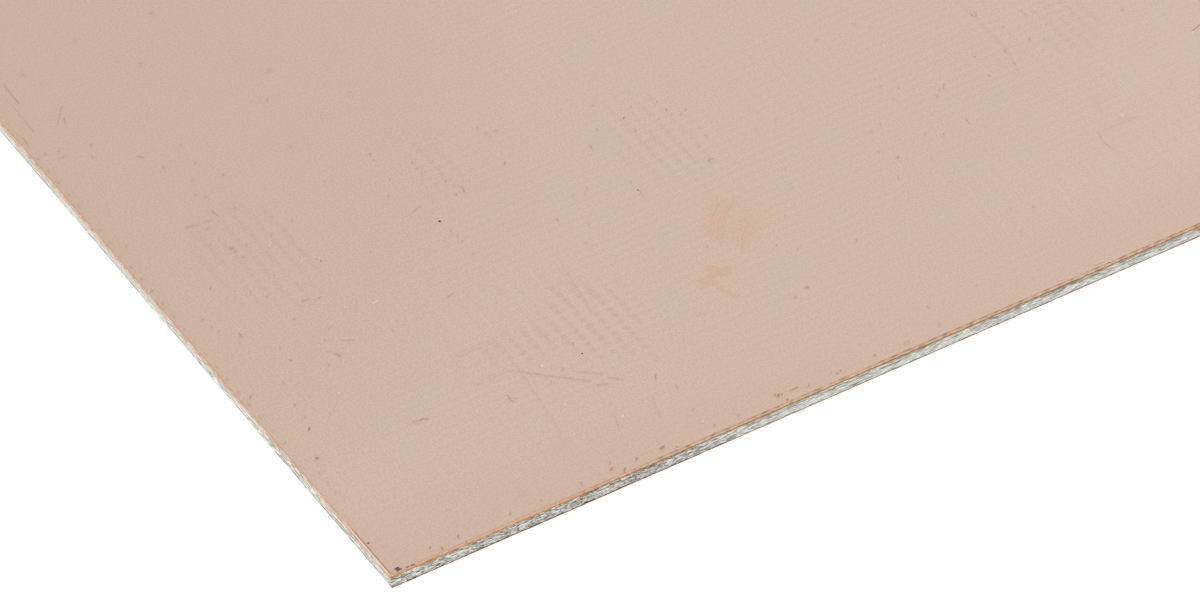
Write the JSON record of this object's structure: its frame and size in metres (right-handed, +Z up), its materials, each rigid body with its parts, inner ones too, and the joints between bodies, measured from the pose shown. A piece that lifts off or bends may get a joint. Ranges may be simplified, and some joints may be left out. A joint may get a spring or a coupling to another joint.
{
  "type": "copper clad board",
  "caption": "Flat rectangular sheet of glass and epoxy laminate with copper foil bonded to both faces, guillotined edges with the top foil drawn down into a small lip.",
  "frame": {"origin": "centre of the sheet's underside, the face that it lies on", "axes": "+Z up through the thickness, +X along the length (the warp of the glass cloth), +Y along the width"},
  "size_m": [0.16, 0.1, 0.0008],
  "materials": {
    "glass_epoxy": "matte",
    "copper": "satin"
  },
  "bodies": {
    "root": {"laminate_core": "glass_epoxy", "top_copper_foil": "copper", "bottom_copper_foil": "copper"}
  },
  "joints": []
}
